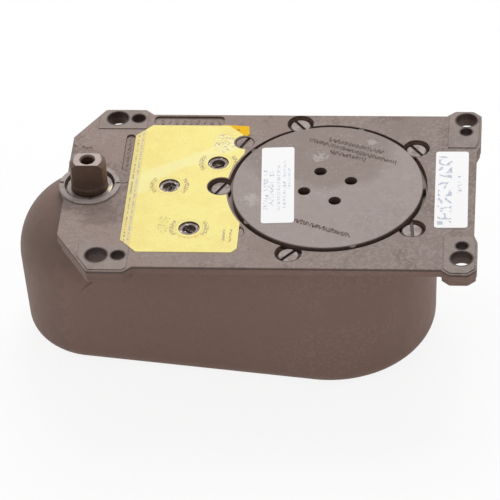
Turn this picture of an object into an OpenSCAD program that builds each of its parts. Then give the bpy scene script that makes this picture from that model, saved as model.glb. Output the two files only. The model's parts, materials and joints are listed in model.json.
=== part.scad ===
// Floor spring door closer: a cast tub with an integral deck, a drive spindle under the nose,
// a torsion spring under a round cover that sets its tension, and a rack piston for damping.
// Origin: on the base face, under the spindle's axis. +X runs to the spring drum, +Z is up.

/* [Tub] */
// Distance from the spindle's axis to the spring drum's axis
axis_gap = 156.5; // [150:0.5:170]
// Height from the base face to the top of the deck
depth = 115; // [112:1:130]
// Outer radius of the spring drum, at the deck
drum_r = 73; // [72:0.5:78]
// Outer radius of the nose round the spindle, at the deck
nose_r = 52; // [50:0.5:58]
// Draft of the cast walls, in degrees
draft = 2; // [1:0.5:3]
// Radius of the round between walls and base
base_round = 14; // [8:1:20]
// Length of the slanted shoulders that carry the deck behind the nose
shoulder_len = 46; // [38:1:60]
// Depth of the nose's dome below the deck's top
nose_drop = 1; // [0.5:0.5:3]
// Thickness of the side walls
wall = 7; // [6:0.5:8]
// Thickness of the floor
floor_t = 8; // [6:0.5:10]
// Height of the solid deck over the inside
roof_t = 19; // [18:0.5:21]

/* [Deck] */
// Reach of the deck past the spindle's axis, at the nose
deck_nose = 16; // [12:1:20]
// Reach of the deck past the drum's axis, at the tail
deck_tail = 96.5; // [90:0.5:110]
// Width of the deck, without what its front edge has more
deck_w = 151; // [149:1:165]
// Reach of the deck's front edge past its rear edge's distance
front_more = 6; // [0:0.5:8]
// Thickness of the deck's flange
flange_t = 6; // [6:0.5:8]
// Length of each corner cut at the nose, along X
cut_x = 19; // [14:1:24]
// Length of each corner cut at the nose, along Y
cut_y = 30; // [22:1:34]
// Reach of the mounting ears past the deck's long edges
ear_reach = 5; // [3:0.5:8]
// Reach of the tail ears past the deck's short edge
tail_reach = 2.5; // [1:0.5:5]
// Thickness of the mounting ears
ear_t = 9.5; // [8:0.5:12]
// Length of the ears' slanted flanks
ear_slant = 5.5; // [3:0.5:8]
// Length of the nose ears along X, at their outer edge
nose_ear = 27; // [24:0.5:34]
// Length of the tail ears along X, at their outer edge
tail_ear = 17.5; // [16:0.5:24]
// Length of the rear tail ear along the short edge
rear_ear = 36.5; // [32:0.5:44]
// Length of the front tail ear along the short edge
front_ear = 25.5; // [25:0.5:34]
// Step between the ears' thick undersides and the flange's edge
ear_step = 0.6; // [0.4:0.1:1]
// Rise of the machined pads on the ears
pad_rise = 0.5; // [0.3:0.1:0.8]
// Rounding of the deck's corners in plan
corner_r = 2.5; // [1:0.5:4]

/* [Fixing holes] */
// Diameter of the four fixing holes
fix_d = 14; // [10:0.5:15]
// Spacing of the fixing holes along X
fix_x = 234; // [228:0.5:246]
// Distance from the deck's long edges in to the fixing holes
fix_in = 4.7; // [3:0.1:7]
// Distance from the spindle's axis to the nose fixing holes
fix_start = 11.6; // [9:0.2:14]
// Diameter of the levelling holes in the nose ears
level_d = 8.8; // [6:0.2:10]
// Distance from each nose fixing hole to its levelling hole
level_gap = 14; // [12.5:0.5:17]
// Diameter of the clip holes in the tail ears
clip_d = 7.8; // [5:0.2:9]
// Distance from each tail fixing hole to its clip hole
clip_gap = 12.3; // [11.5:0.1:14]

/* [Cover] */
// Reach of a clamp screw's head over the cover's rim
clamp_bite = 1.8; // [1.4:0.1:2.4]
// Width of the gap round the cover's raised face
cover_gap = 2.7; // [2:0.1:4]
// Rise of the cover above the deck
cover_rise = 1; // [0.5:0.25:2]
// Depth of the ledge that the cover turns on, below the deck's top
ledge_depth = 13.5; // [12:0.5:14.5]
// Width of that ledge
ledge_w = 6.2; // [5:0.2:8]
// Radial clearance of the cover's rim in the opening
cover_clear = 0.2; // [0.1:0.05:0.4]
// Number of clamp screws and of locating lobes
clamp_count = 5; // [4:1:6]
// Radius of the circle of clamp screws
clamp_ring = 70; // [69.5:0.25:71]
// Head diameter of a clamp screw
clamp_head_d = 13.2; // [12.4:0.2:14]
// Head height of a clamp screw
clamp_head_h = 3.4; // [2.6:0.2:3.8]
// Thread diameter of a clamp screw
clamp_d = 5; // [4:0.5:5]
// Length of a clamp screw's thread
clamp_len = 4.2; // [3:0.2:5]
// Depth of a clamp screw's head below the deck's top
clamp_sink = 1.8; // [1:0.2:2.4]
// Diameter of the recess round a clamp screw's head
clamp_recess_d = 17.6; // [16:0.2:18]
// Radius of a locating lobe on the cover's rim
lobe_r = 2.4; // [1.5:0.1:3]
// Radius of the circle of spanner holes
spanner_ring = 16; // [14:0.5:20]
// Diameter of a spanner hole
spanner_d = 8.2; // [6:0.2:9]
// Depth of the spanner holes
spanner_deep = 6; // [4:0.5:8]
// Turn of the spanner holes from the long axis, in degrees
spanner_turn = 20; // [0:1:90]

/* [Spindle] */
// Diameter of the spindle where it leaves the deck
spindle_d = 24; // [22:0.5:25]
// Height of the spindle's end above the deck
spindle_rise = 21.8; // [18:0.2:30]
// Distance across the two driving flats
flats_w = 12.9; // [11:0.1:14]
// Height of the driving flats
flats_h = 17; // [14:0.5:18]
// Size of the bevel round the spindle's end
end_bevel = 2.6; // [1.5:0.1:3]
// Diameter of the tapped hole in the spindle's end
tap_d = 8.5; // [6:0.5:9]
// Depth of the tapped hole
tap_deep = 24; // [16:1:30]
// Diameter of the crank's seat on the spindle
seat_d = 21; // [20:0.5:21.5]
// Diameter of the spindle beside the link
neck_d = 19; // [18:0.5:20]
// Diameter of the spindle in the drive pinion
shank_d = 16; // [15:0.5:17]
// Diameter of the spindle's lower journal
foot_d = 15; // [12:0.5:15]
// Radial running clearance of journals and pins
run = 0.05; // [0.03:0.01:0.08]
// Angle that the door turns the spindle through, in degrees
door_turn = 110; // [90:5:110]

/* [Gland] */
// Outer diameter of the gland ring
gland_d = 40.5; // [39:0.5:41]
// Diameter of the gland ring's thread
gland_thread_d = 36; // [35:0.5:37]
// Rise of the gland ring above the deck
gland_rise = 1.5; // [1.5:0.25:3]
// Inner diameter of the gland ring
gland_bore_d = 33.2; // [32:0.2:34]
// Depth of the gland's thread below the deck's top
gland_deep = 11; // [9:0.5:12]
// Outer diameter of the seal's lip
seal_lip_d = 30; // [29:0.5:31]

/* [Link] */
// Radius of the crank and of the spring hub's arm
crank_r = 30; // [29:0.5:31]
// Height of the arms' undersides above the base face
arm_z = 72; // [71:0.5:73]
// Thickness of the arms
arm_t = 8; // [6:0.5:8]
// Thickness of the link
link_t = 8.2; // [7:0.2:8.2]
// Width of the link's bar
link_w = 9; // [7:0.5:9]
// Diameter of the link's pins
pin_d = 10; // [8:0.5:11]
// Wall of the link's bushes
link_bush_t = 2; // [1.5:0.25:2.5]
// Wall of the eyes round the bushes and pins
eye_t = 3; // [2.5:0.25:3.25]
// Radial clearance of the hub's pin in the link
far_clear = 0.3; // [0.2:0.05:0.4]

/* [Spring] */
// Mean radius of the torsion spring
coil_r = 46; // [40:0.5:47]
// Diameter of the spring's wire
wire_d = 7; // [5:0.25:7]
// Number of turns
coil_turns = 3.5; // [2.5:1:3.5]
// Radius of the plates that hold the spring's ends
plate_r = 51; // [51:0.5:54]
// Thickness of those plates
plate_t = 4; // [3:0.5:5]
// Diameter of the spring post's journals
post_d = 17; // [16:0.5:18]
// Diameter of the post inside the spring
post_core_d = 24; // [23:0.5:26]
// Outer diameter of the hub's sleeve, beside the link
sleeve_d = 24; // [22:0.5:24.5]

/* [Damper] */
// Module of the pinion and the rack
gear_module = 2; // [2:0.1:2.1]
// Number of teeth on the pinion
pinion_teeth = 12; // [11:1:12]
// Width of the pinion
pinion_w = 20; // [16:1:22]
// Diameter of the piston's bore
cylinder_d = 36; // [34:0.5:38]
// Length of the piston
piston_len = 22; // [18:1:24]
// Height of the piston's axis above the base face
piston_z = 34; // [33:0.5:36]
// Thickness of the rack's bar behind its teeth
rack_back = 8; // [6:0.5:9]
// Distance from the middle to the block's screws along Y
foot_y = 40; // [38:0.5:40]
// Height of the bosses that the block's feet stand on
foot_rise = 6; // [5:0.5:8]
// Diameter of the cylinder's end plug
end_plug_d = 24; // [20:1:28]
// Thickness of the cylinder's end plug
end_plug_t = 6; // [4:0.5:8]
// Outer diameter of a damping valve's head
valve_d = 13.2; // [12:0.2:14]
// Diameter of a damping valve's stem
valve_stem_d = 6; // [4:0.5:7]

/* [Labels] */
// Thickness of the labels
label_t = 0.25; // [0.15:0.05:0.4]
// Length of the cover's white label
tag_len = 78; // [60:1:82]
// Width of the white labels
tag_w = 21.5; // [16:0.5:24]
// Distance from the tail's edge to its white label
tag_margin = 4.75; // [3:0.25:6]
// Distance along Y from that label to the tail ears
tag_clear = 5; // [3:0.5:10]
// Distance from the cover's edge to its white label
tag_inset = 19.15; // [15:0.05:22]
// Distance from the deck's long edges to the deck label
label_inset = 8.7; // [7:0.1:12]
// Distance between the deck label and the drum's opening
label_gap = 1.1; // [0.6:0.1:2]

/* [Hidden] */
$fn = 72;

// Small gaps and overlaps, in mm
seat_gap = 0.3;
rub_gap = 0.2;
eps = 0.01;
flat_in = 0.03;

half_w = deck_w / 2;
label_back = half_w - label_inset - 3;
fix_y = deck_w - 2 * fix_in;
ear_y = half_w + ear_reach;
front_w = half_w + front_more;
tail_x = axis_gap + deck_tail;
ear_x = tail_x + tail_reach;
fix_end = fix_start + fix_x;
level_x = fix_start + level_gap;
clip_y = fix_y / 2 - clip_gap;
roof_z = depth - roof_t;

// The dome is a sphere that meets the nose's drafted wall
dome_r = (nose_r * cos(draft) - nose_drop * sin(draft)) / (1 + sin(draft));
dome_z = depth - nose_drop - dome_r;
ledge_z = depth - ledge_depth;

// Cover and clamp screws
opening_r = clamp_ring - clamp_head_d / 2 + clamp_bite;
cover_r = opening_r - cover_gap;
ledge_r = opening_r - ledge_w;
head_z = depth - clamp_sink - clamp_head_h;
rim_top_z = head_z - rub_gap;
rim_r = opening_r - cover_clear;
cover_z = depth + cover_rise;
clamp_step = 360 / clamp_count;
lug_h = 12;
ring_z = ledge_z + 2.5;
ring_h = 2.4;
ring_t = 2;

// Link train, stacked below the arms
link_z = arm_z - seat_gap - link_t;
pin_head_t = 1.5;
pin_head_z = link_z - seat_gap - pin_head_t;
pin_r = pin_d / 2;
pin_eye_r = pin_r + eye_t;
link_eye_r = pin_r + link_bush_t + eye_t;
rest_turn = -90 - door_turn / 2;
arm_top_z = arm_z + arm_t;

// Spindle levels
gland_top_z = depth + gland_rise;
gland_z = depth - gland_deep;
lock_d = 4.4;
lock_x = gland_d / 2 + lock_d / 2 + 0.4;
lock_turn = 7;
lock_z = depth - 4.5;
bush_wall = 5;
upper_bush_z = arm_top_z + 8;
bush_len = gland_z - 1 - upper_bush_z;
spindle_top_z = depth + spindle_rise;
lower_bush_len = 12;
lower_bush_wall = 3.5;
foot_z = floor_t + seat_gap;
shank_z = floor_t + lower_bush_len + 2;
neck_z = piston_z + pinion_w / 2 + 4;
key_w = 5;
key_sink = 2.5;
key_end = 1;

// Spring stack, up from the floor
post_boss_h = 10;
post_r = post_d / 2;
plate_z = floor_t + post_boss_h + seat_gap;
plate_top_z = plate_z + plate_t;
disc_top_z = pin_head_z - rub_gap;
disc_z = disc_top_z - plate_t;
washer_t = 1.3;
core_top_z = disc_z - washer_t - rub_gap;
coil_z = plate_top_z + seat_gap + wire_d / 2;
coil_h = disc_z - seat_gap - wire_d / 2 - coil_z;
hex_r = post_core_d / 2 - 1;
post_flange_r = 22;
post_flange_t = 6;
cover_hex_deep = 7;

// Damper
pitch_r = gear_module * pinion_teeth / 2;
pressure = 25;
addendum = 0.8 * gear_module;
dedendum = 1.05 * gear_module;
backlash = 0.16;
stroke = pitch_r * door_turn * PI / 180;
cylinder_r = cylinder_d / 2;
cylinder_y = -pitch_r + 2;
piston_x = 40;
block_x = 32;
block_end = piston_x + piston_len + stroke + 13;
block_wall = 5;
block_top_z = piston_z + cylinder_r + 6;
foot_t = 6;
block_z = floor_t + 3 * flat_in;
rack_h = pinion_w - 2;
rack_from = -stroke - 6;

// Damping valves: closing, latching and backcheck, as [x, y]
closing_at = [axis_gap - opening_r - 8.3, 24.2];
latching_at = [52.7, 0.2];
backcheck_at = [69.2, -43];
VALVES = [closing_at, latching_at, backcheck_at];
valve_clear = 0.3;
valve_sink = 0.8;
valve_head_h = 9;
valve_z = depth - valve_sink - valve_head_h;
column_r = valve_stem_d / 2 + 4;
stem_deep = 6;
o_ring_t = 0.9;
o_ring_h = 2;

// Plugs of the oil passages, either side of the opening
plug_d = 12.4;
plug_h = 7;
plug_sink = 0.4;
plug_x = axis_gap - opening_r + 7.7;
plug_y = 46.2;

// Block screws, as [x, y]
foot_w = 9;
boss_z = floor_t + foot_rise;
BLOCK_SCREWS = [for (x = [block_x + 8, block_end - 8], s = [-1, 1]) [x, s * foot_y]];

// ---------------------------------------------------------------- Tub

// Radius of a drafted wall at a height, for a circle of radius r at the deck, set in by t
function wall_at(r, t, z) = r - t / cos(draft) - tan(draft) * (depth - z);

// Half section of the tub's wall from its base round up through the points tops
module wall_section(r, t, low, tops, round_r) {
    c = wall_at(r, t, low + round_r) - round_r / cos(draft);
    polygon(concat([
        [0, low], [c, low], [c, low + round_r],
        [c + round_r * cos(draft), low + round_r - round_r * sin(draft)]
    ], tops, [[0, tops[len(tops) - 1].y]]));
    translate([c, low + round_r]) circle(round_r);
}

// Half section of the nose: the wall, up to where it meets the dome. The cavity's dome is
// made of cones.
module nose_section(t, low, high, round_r) {
    r = dome_r - t;
    last = asin((high - dome_z) / r);
    function on_dome(a) = [r * cos(a), dome_z + r * sin(a)];
    if (t < wall) {
        wall_section(nose_r, t, low, [on_dome(-draft)], round_r);
        intersection() {
            translate([0, dome_z]) circle(r);
            translate([0, low + round_r]) square([nose_r, high - low - round_r]);
        }
    } else
        wall_section(nose_r, t, low, [for (k = [0 : 4]) on_dome(-draft + (last + draft) * k / 4)], round_r);
}

// The tub's form: the drum, the nose and the drafted flats that join them
module tub_form(t, low, high, round_r) {
    flare = asin((drum_r - nose_r) / axis_gap);
    run_len = axis_gap * cos(flare);
    // The drum's seam is turned off the middle plane, where the flats meet
    translate([axis_gap, 0, 0]) rotate([0, 0, 90]) rotate_extrude()
        wall_section(drum_r, t, low, [[wall_at(drum_r, t, high), high]], round_r);
    rotate_extrude() nose_section(t, low, high, round_r);
    for (s = [0, 1]) mirror([0, s, 0]) rotate([0, 0, flare]) {
        along_flat(shoulder_len)
            nose_section(t + 2 * flat_in, low + min(t, 2 * flat_in), high, round_r);
        intersection() {
            along_flat(run_len) flat_section(t + flat_in, low + min(t, flat_in), high, round_r);
            translate([0, nose_r, 0]) rotate([90, 0, 0]) linear_extrude(drum_r + nose_r) polygon([
                [0, low], [run_len, low], [run_len, high], [shoulder_len, high], [0, dome_z]
            ]);
        }
    }
}

// Extrudes a half section from the nose's axis along a flat
module along_flat(length) {
    translate([length + 0.5, 0, 0]) rotate([90, 0, -90]) mirror([1, 0, 0])
        linear_extrude(length + 1) children();
}

// Section of a flat: the nose's wall section, carried past the middle of the tub.
// The flats lie a hair inside the round walls, so that the faces cross cleanly.
module flat_section(t, low, high, round_r) {
    wall_section(nose_r, t, low, [[wall_at(nose_r, t, high), high]], round_r);
    translate([nose_r - drum_r - 4, low]) square([drum_r - nose_r + 5, high - low]);
}

// How much more the deck and its ears reach on the side s, and the corner cut's length there
function more(s) = s > 0 ? 0 : front_more;
function front_cut(s) = cut_x * (1 + more(s) / cut_y);

module deck_plan() {
    nose_x = -deck_nose;
    chamfer_y = ear_y - cut_y;
    polygon([
        [nose_x, chamfer_y], [nose_x + cut_x, half_w], [tail_x, half_w],
        [tail_x, -front_w], [nose_x + front_cut(-1), -front_w], [nose_x, -chamfer_y]
    ]);
}

// Plan of a nose ear on the side s
module nose_ear_plan(s) {
    nose_x = -deck_nose;
    end_x = nose_x + cut_x + nose_ear;
    polygon([
        [nose_x, s * (ear_y - cut_y)], [nose_x + front_cut(s), s * (ear_y + more(s))],
        [end_x, s * (ear_y + more(s))],
        [end_x + ear_slant, s * (half_w + more(s))], [end_x + ear_slant, s * (ear_y - cut_y)]
    ]);
}

// Plan of a tail ear on the side s, which runs a length along the short edge
module tail_ear_plan(s, length) {
    start_x = ear_x - tail_ear;
    low_y = ear_y - length;
    polygon([
        [start_x - ear_slant, s * (half_w + more(s))], [start_x, s * (ear_y + more(s))],
        [ear_x - ear_slant, s * (ear_y + more(s))], [ear_x, s * (half_w + more(s))],
        [ear_x, s * low_y], [tail_x, s * (low_y - ear_slant * 1.4)],
        [start_x - ear_slant, s * (low_y - ear_slant * 1.4)]
    ]);
}

module round_plan() {
    offset(corner_r, $fn = 24) offset(-corner_r) children();
}

module deck() {
    translate([0, 0, depth - flange_t]) linear_extrude(flange_t) round_plan() union() {
        deck_plan();
        for (s = [-1, 1]) nose_ear_plan(s);
        tail_ear_plan(1, rear_ear);
        tail_ear_plan(-1, front_ear);
    }
    translate([0, 0, depth - ear_t]) linear_extrude(ear_t - 1) offset(delta = -ear_step) round_plan() {
        for (s = [-1, 1]) nose_ear_plan(s);
        tail_ear_plan(1, rear_ear);
        tail_ear_plan(-1, front_ear);
    }
    // Lugs under the flange for the clamp screws
    translate([0, 0, depth - lug_h]) linear_extrude(lug_h - 1) intersection() {
        offset(delta = -ear_step) deck_plan();
        at_clamps() circle(clamp_recess_d / 2 + 2);
    }
    // Machined pads round the holes
    pad_in = 1.5;
    translate([0, 0, depth]) linear_extrude(pad_rise) {
        for (s = [-1, 1]) difference() {
            intersection() {
                offset(delta = -pad_in) nose_ear_plan(s);
                translate([fix_start - fix_d / 2 - 5, s > 0 ? fix_y / 2 - 11 : -ear_y - front_more])
                    square([level_gap + fix_d / 2 + level_d / 2 + 7, ear_y + more(s) - fix_y / 2 + 11]);
            }
            offset(delta = 0.6) deck_label_outline();
        }
        offset(delta = -pad_in) tail_ear_plan(1, rear_ear - 4);
        offset(delta = -pad_in) tail_ear_plan(-1, front_ear - 1);
    }
}

// A recess of a length along X and a width, with corners of radius r
module recess(length, width, r) {
    hull() for (x = [-1, 1], y = [-1, 1])
        translate([x * (length / 2 - r), y * (width / 2 - r)]) circle(r, $fn = 24);
}

module fixing_holes() {
    deep = ear_t + 2;
    for (s = [-1, 1]) {
        for (x = [fix_start, fix_end])
            translate([x, s * fix_y / 2, depth - deep]) cylinder(d = fix_d, h = deep + 1);
        translate([level_x, s * fix_y / 2, depth - deep]) cylinder(d = level_d, h = deep + 1);
        translate([fix_end, s * clip_y, depth - deep]) cylinder(d = clip_d, h = deep + 1);
    }
}

// Copies children to each clamp screw
module at_clamps() {
    for (k = [0 : clamp_count - 1]) translate([axis_gap, 0, 0])
        rotate([0, 0, clamp_step * (k + 0.5)]) translate([clamp_ring, 0, 0]) children();
}

// Copies children to each plug screw
module at_plugs() {
    for (s = [-1, 1]) translate([plug_x, s * plug_y, 0]) children();
}

// Bosses inside the tub: bush seats, the spring post's foot and the valve columns
module inner_bosses() {
    translate([0, 0, upper_bush_z - 2])
        cylinder(r = spindle_d / 2 + bush_wall + 5, h = roof_z - upper_bush_z + 4);
    translate([0, 0, floor_t - 1]) cylinder(r = foot_d / 2 + lower_bush_wall + 4, h = lower_bush_len + 1);
    translate([axis_gap, 0, floor_t - 1]) cylinder(r = post_r + 6, h = post_boss_h + 1);
    for (v = VALVES) translate([v.x, v.y, block_top_z]) cylinder(r = column_r, h = roof_z - block_top_z + 2);
    for (p = BLOCK_SCREWS) translate([p.x, p.y, floor_t - 1]) cylinder(r = foot_w / 2 + 2, h = foot_rise + 1);
}

module case_casting() {
    color("#8a7c74") difference() {
        union() {
            difference() {
                union() {
                    tub_form(0, 0, depth - flange_t / 2, base_round);
                    deck();
                    translate([0, 0, roof_z]) cylinder(d = gland_d - 1.5, h = roof_t - 1);
                }
                tub_form(wall, floor_t, roof_z, base_round - floor_t + 2);
            }
            inner_bosses();
        }
        // Spindle bore, bush seats and gland thread
        translate([0, 0, upper_bush_z]) cylinder(d = spindle_d + 2 * bush_wall, h = bush_len);
        translate([0, 0, upper_bush_z - 3]) cylinder(d = spindle_d + 2, h = depth);
        translate([0, 0, upper_bush_z + bush_len]) cylinder(d = gland_bore_d, h = depth);
        translate([0, 0, gland_z]) cylinder(d = gland_thread_d, h = depth);
        translate([0, 0, floor_t]) cylinder(d = foot_d + 2 * lower_bush_wall, h = depth / 2);
        // Drum opening, its ledge, and the foot of the spring post
        translate([axis_gap, 0, roof_z - 1]) cylinder(r = ledge_r, h = depth);
        translate([axis_gap, 0, ledge_z]) cylinder(r = opening_r, h = depth);
        translate([axis_gap, 0, floor_t - 1]) cylinder(r = post_r + run, h = post_boss_h + 2);
        at_clamps() {
            translate([0, 0, head_z]) cylinder(d = clamp_recess_d, h = depth);
            translate([0, 0, head_z - clamp_len - 0.5]) cylinder(d = clamp_d + 2 * run, h = depth);
        }
        at_plugs() translate([0, 0, depth - plug_sink - plug_h]) cylinder(d = plug_d, h = depth);
        for (v = VALVES) translate([v.x, v.y, 0]) {
            translate([0, 0, valve_z]) cylinder(r = valve_d / 2 + valve_clear, h = depth);
            translate([0, 0, block_top_z - 1]) cylinder(r = valve_stem_d / 2 + valve_clear, h = depth);
        }
        for (p = BLOCK_SCREWS) translate([p.x, p.y, floor_t - 3])
            cylinder(d = 6 + 2 * run, h = foot_rise + 5);
        lock_screw_hole();
        fixing_holes();
        // Cast recesses on the deck
        translate([60, half_w - 6.4, depth - 1.5]) linear_extrude(3) recess(47, 9.6, 3);
        translate([22.3, 34.5, depth - 1.5]) linear_extrude(3) rotate(90) recess(39, 5.8, 2.8);
    }
}

// ---------------------------------------------------------------- Gland and bushes

module gland_ring() {
    color("#a79a91") difference() {
        union() {
            translate([0, 0, gland_z]) cylinder(d = gland_thread_d, h = gland_deep + eps);
            translate([0, 0, depth]) cylinder(d = gland_d, h = gland_rise - 0.6);
            translate([0, 0, gland_top_z - 0.6 - eps])
                cylinder(d1 = gland_d, d2 = gland_d - 1.2, h = 0.6 + eps);
        }
        translate([0, 0, gland_z - 1]) cylinder(d = gland_bore_d, h = depth);
        // Two slots for the gland's key
        for (s = [-1, 1]) translate([s * gland_d / 2, 0, gland_top_z]) cube([6, 4, 1.6], center = true);
    }
}

module shaft_seal() {
    seal_z = upper_bush_z + bush_len + rub_gap;
    color("#b5aaa3") difference() {
        union() {
            translate([0, 0, seal_z]) cylinder(d = gland_bore_d - 2 * run, h = gland_z + 7 - seal_z);
            translate([0, 0, gland_z]) cylinder(d = seal_lip_d, h = gland_top_z - 2 - gland_z);
        }
        translate([0, 0, 0]) cylinder(d = spindle_d + 0.3, h = depth * 2);
    }
}

module bush(z, inner_r, wall_t, length) {
    translate([0, 0, z]) difference() {
        cylinder(r = inner_r + wall_t, h = length);
        translate([0, 0, -1]) cylinder(r = inner_r + run, h = length + 2);
    }
}

module upper_bush() {
    color("#b08d4f") bush(upper_bush_z, spindle_d / 2, bush_wall, bush_len);
}

module lower_bush() {
    color("#b08d4f") bush(floor_t, foot_d / 2, lower_bush_wall, lower_bush_len);
}

module lock_screw_hole() {
    rotate([0, 0, lock_turn]) translate([lock_x, 0, lock_z]) cylinder(d = lock_d, h = 10);
}

module gland_lock_screw() {
    color("#c9c2bd") rotate([0, 0, lock_turn]) difference() {
        translate([lock_x, 0, lock_z]) cylinder(d = lock_d, h = depth - lock_z);
        translate([lock_x, 0, depth]) cube([lock_d + 1, 0.8, 1.6], center = true);
    }
}

// ---------------------------------------------------------------- Screws

// A slotted round head with a thread below it, from the head's underside
module slotted_screw(head_d, head_h, thread_d, length, turn) {
    difference() {
        union() {
            cylinder(d = head_d, h = head_h - 0.6);
            translate([0, 0, head_h - 0.6]) cylinder(d1 = head_d, d2 = head_d - 1.2, h = 0.6);
            translate([0, 0, -length]) cylinder(d = thread_d, h = length + eps);
        }
        rotate([0, 0, turn]) translate([0, 0, head_h]) cube([head_d + 2, 2.2, 3], center = true);
    }
}

module clamp_screws() {
    turns = [91, 19, 60, 157, 131];
    color("#8f8680") for (k = [0 : clamp_count - 1]) translate([axis_gap, 0, head_z])
        rotate([0, 0, clamp_step * (k + 0.5)]) translate([clamp_ring, 0, 0])
            slotted_screw(clamp_head_d, clamp_head_h, clamp_d, clamp_len, turns[k]);
}

module passage_plugs() {
    color("#8f8680") at_plugs() translate([0, 0, depth - plug_sink - plug_h])
        slotted_screw(plug_d, plug_h, plug_d, 0, 64);
}

// ---------------------------------------------------------------- Spindle and crank

module spindle() {
    spindle_r = spindle_d / 2;
    color("#46342c") difference() {
        union() {
            translate([0, 0, foot_z]) cylinder(d = foot_d, h = shank_z - foot_z + eps);
            translate([0, 0, shank_z]) cylinder(d = shank_d, h = neck_z - shank_z + eps);
            translate([0, 0, neck_z]) cylinder(d = neck_d, h = arm_z - neck_z + eps);
            translate([0, 0, arm_z]) cylinder(d = seat_d, h = arm_t + eps);
            translate([0, 0, arm_top_z]) cylinder(d = spindle_d, h = spindle_top_z - end_bevel - arm_top_z);
            translate([0, 0, spindle_top_z - end_bevel - eps])
                cylinder(d1 = spindle_d, d2 = spindle_d - 2 * end_bevel, h = end_bevel + eps);
        }
        // Driving flats and the tapped hole with its countersink
        for (s = [-1, 1])
            translate([-spindle_r - 1, s > 0 ? flats_w / 2 : -spindle_r - 1, spindle_top_z - flats_h])
            cube([spindle_d + 2, spindle_r + 1 - flats_w / 2, flats_h + 1]);
        translate([0, 0, spindle_top_z - tap_deep]) cylinder(d = tap_d, h = tap_deep + 1);
        translate([0, 0, spindle_top_z - 1]) cylinder(d1 = tap_d, d2 = tap_d + 2.2, h = 1.1);
        key_forms();
    }
}

// The two sunk keys: one in the crank's seat, one in the pinion's
module key_forms() {
    rotate([0, 0, rest_turn + 180]) {
        translate([seat_d / 2 - key_sink, -key_w / 2, arm_z + key_end])
            cube([2 * key_sink, key_w, arm_t - 2 * key_end]);
        translate([shank_d / 2 - key_sink, -key_w / 2, piston_z - pinion_w / 2 + key_end])
            cube([1.6 * key_sink, key_w, pinion_w - 2 * key_end]);
    }
}

module drive_keys() {
    color("#7d7672") key_forms();
}

// Arm from a hub of radius hub_r to the pin's eye, along +X
module arm_plan(hub_r) {
    circle(hub_r);
    translate([crank_r, 0]) circle(pin_eye_r);
    polygon([[0, -hub_r + 1], [crank_r, -pin_eye_r + 0.5], [crank_r, pin_eye_r - 0.5], [0, hub_r - 1]]);
}

module crank_arm() {
    color("#6f6660") translate([0, 0, arm_z]) rotate([0, 0, rest_turn]) difference() {
        linear_extrude(arm_t) arm_plan(seat_d / 2 + 5);
        translate([0, 0, -1]) cylinder(d = seat_d, h = arm_t + 2);
        translate([crank_r, 0, -1]) cylinder(d = pin_d, h = arm_t + 2);
        translate([-seat_d / 2 - key_sink, -key_w / 2, -1]) cube([key_sink * 2, key_w, arm_t + 2]);
    }
}

// Headed pin from above the arm down through the link
module link_pin() {
    translate([0, 0, pin_head_z]) {
        cylinder(r = pin_r, h = arm_top_z - pin_head_z);
        cylinder(r = pin_r + 2, h = pin_head_t);
    }
}

module at_crank_pin() {
    rotate([0, 0, rest_turn]) translate([crank_r, 0, 0]) rotate([0, 0, -rest_turn]) children();
}

module crank_pin() {
    color("#9a928c") at_crank_pin() link_pin();
}

// Angle whose involute is that of the pressure angle at the pitch circle, in degrees
function involute_turn(a) = tan(a) * 180 / PI - a;

// Half angle of a tooth at a radius
function half_tooth(r, base) =
    90 / pinion_teeth - backlash / 2 / pitch_r * 180 / PI
    + involute_turn(pressure) - involute_turn(acos(min(1, base / r)));

function tooth_points(root_r, tip_r, base) = let (
    steps = 4,
    start = max(root_r, base),
    radii = [for (k = [0 : steps]) start + (tip_r - start) * k / steps]
) concat(
    [[root_r, -half_tooth(start, base)]],
    [for (r = radii) [r, -half_tooth(r, base)]],
    [for (k = [steps : -1 : 0]) [radii[k], half_tooth(radii[k], base)]],
    [[root_r, half_tooth(start, base)]]
);

module pinion_plan() {
    base = pitch_r * cos(pressure);
    root_r = pitch_r - dedendum;
    tip_r = pitch_r + addendum;
    circle(root_r);
    for (k = [0 : pinion_teeth - 1]) rotate(-90 + k * 360 / pinion_teeth)
        polygon([for (p = concat([[1, 0]], tooth_points(root_r, tip_r, base))) p.x * [cos(p.y), sin(p.y)]]);
}

module drive_pinion() {
    color("#7a7069") translate([0, 0, piston_z - pinion_w / 2]) difference() {
        linear_extrude(pinion_w) pinion_plan();
        translate([0, 0, -1]) cylinder(d = shank_d, h = pinion_w + 2);
        rotate([0, 0, rest_turn + 180]) translate([0, -key_w / 2, -1])
            cube([shank_d / 2 + 0.6 * key_sink, key_w, pinion_w + 2]);
    }
}

// ---------------------------------------------------------------- Link

module link_bar() {
    color("#6f6660") at_crank_pin() translate([0, 0, link_z]) difference() {
        linear_extrude(link_t) {
            for (x = [0, axis_gap]) translate([x, 0]) circle(link_eye_r);
            translate([0, -link_w / 2]) square([axis_gap, link_w]);
        }
        for (x = [0, axis_gap]) translate([x, 0, -1]) cylinder(r = pin_r + link_bush_t, h = link_t + 2);
    }
}

module link_bushes() {
    color("#b08d4f") at_crank_pin() translate([0, 0, link_z]) for (e = [[0, run], [axis_gap, far_clear]])
        translate([e.x, 0, 0]) difference() {
            cylinder(r = pin_r + link_bush_t, h = link_t);
            translate([0, 0, -1]) cylinder(r = pin_r + e.y, h = link_t + 2);
        }
}

// ---------------------------------------------------------------- Spring and cover

// Turn of the spring's legs, which stand half a turn apart
leg_turn = 30;
module at_leg(turn) {
    translate([axis_gap, 0, 0]) rotate([0, 0, leg_turn + turn]) translate([coil_r, 0, 0]) children();
}
leg_hole_r = wire_d / 2 + seat_gap;
leg_end_turn = 360 * coil_turns;

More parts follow.
